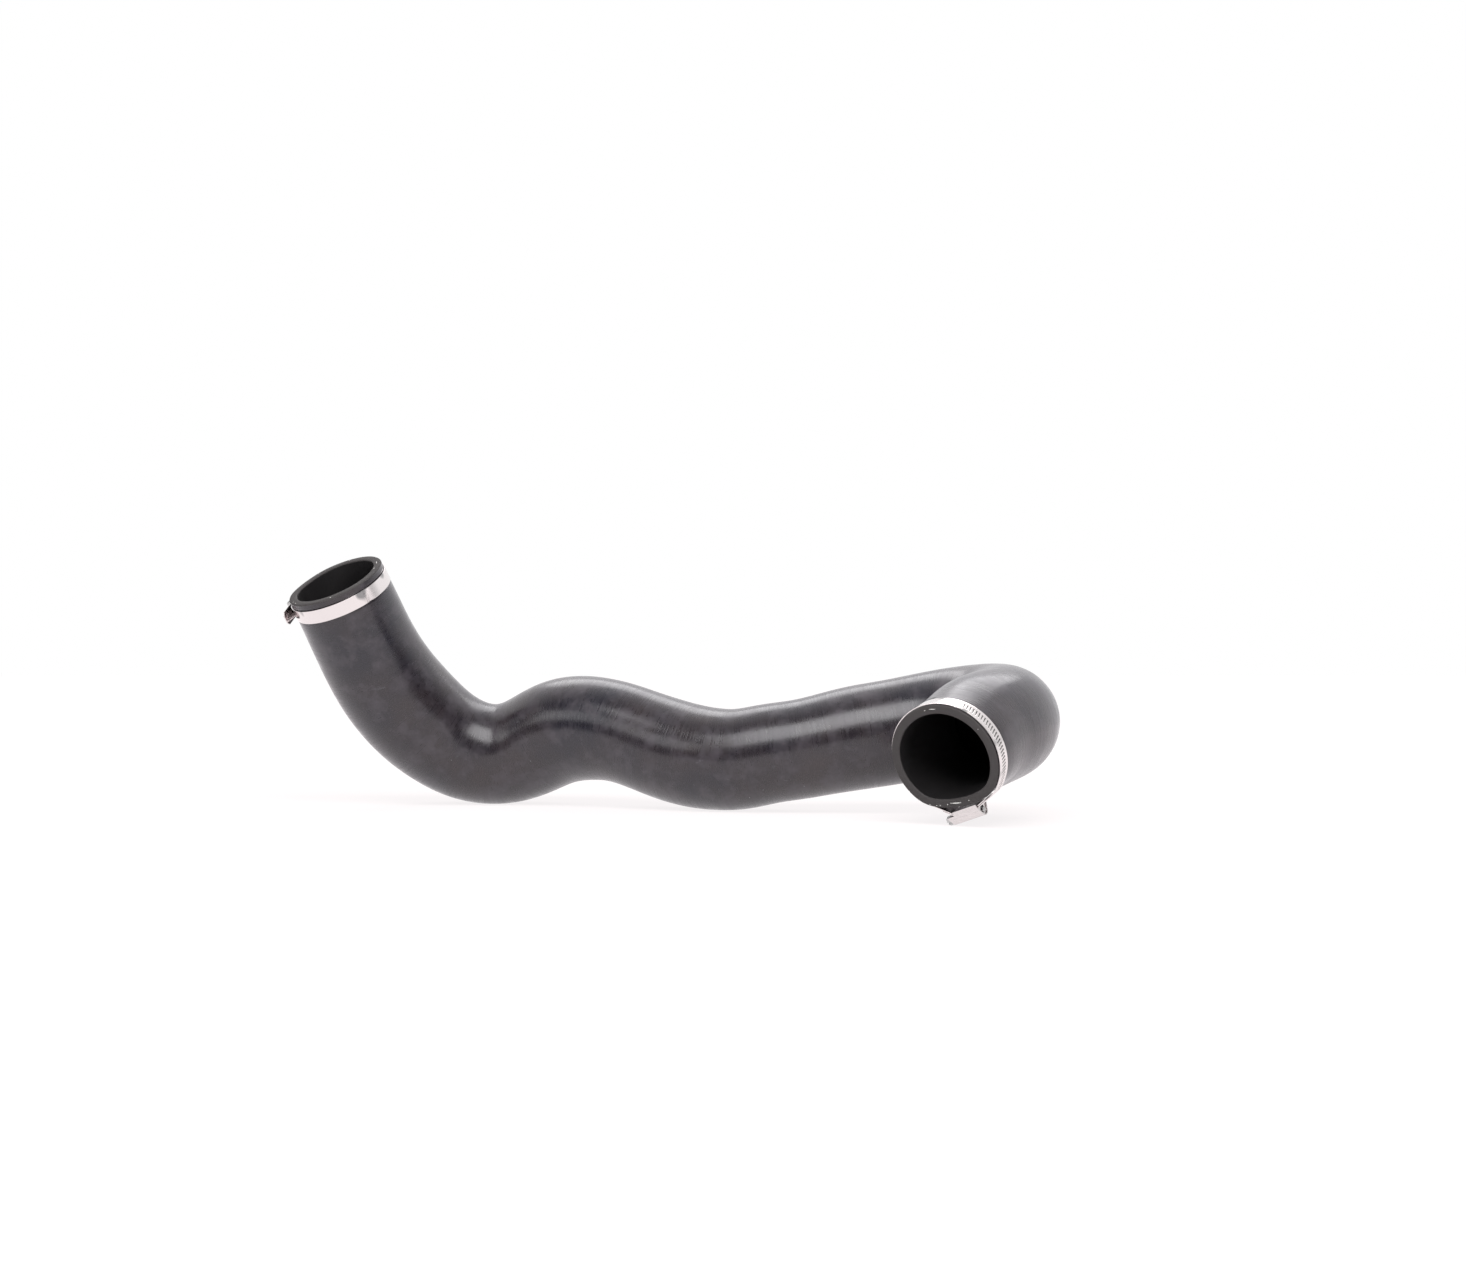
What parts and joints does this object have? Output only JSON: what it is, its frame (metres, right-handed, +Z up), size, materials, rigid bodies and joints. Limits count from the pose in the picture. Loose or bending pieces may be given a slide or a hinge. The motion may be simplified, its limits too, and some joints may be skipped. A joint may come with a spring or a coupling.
{
  "type": "air intake hose",
  "caption": "Moulded black rubber air duct hose with two low curves, a tight return bend and a steel worm-drive clamp on each open end.",
  "frame": {"origin": "on the surface the hose lies on, under the middle of the box around the whole part", "axes": "+X along the hose from its upper mouth to its bend, +Y away from the side the mouths open to, +Z up"},
  "size_m": [0.494, 0.2452, 0.1659],
  "materials": {
    "rubber": "satin",
    "band_steel": "polished",
    "screw_steel": "satin"
  },
  "bodies": {
    "hose": {"hose_body": "rubber", "upper_band": "band_steel", "upper_housing": "band_steel", "lower_band": "band_steel", "lower_housing": "band_steel"},
    "upper_screw": {"upper_worm_screw": "screw_steel"},
    "lower_screw": {"lower_worm_screw": "screw_steel"}
  },
  "joints": [
    {"name": "upper_screw_turn", "type": "hinge", "parent": "hose", "child": "upper_screw", "pos_m": [-0.23684, 0.05996, 0.14156], "axis": [-0.5219, -0.6608, -0.5394], "continuous": true},
    {"name": "lower_screw_turn", "type": "hinge", "parent": "hose", "child": "lower_screw", "pos_m": [0.18351, -0.08918, 0.00734], "axis": [-0.67, 0.6714, -0.3168], "continuous": true}
  ]
}
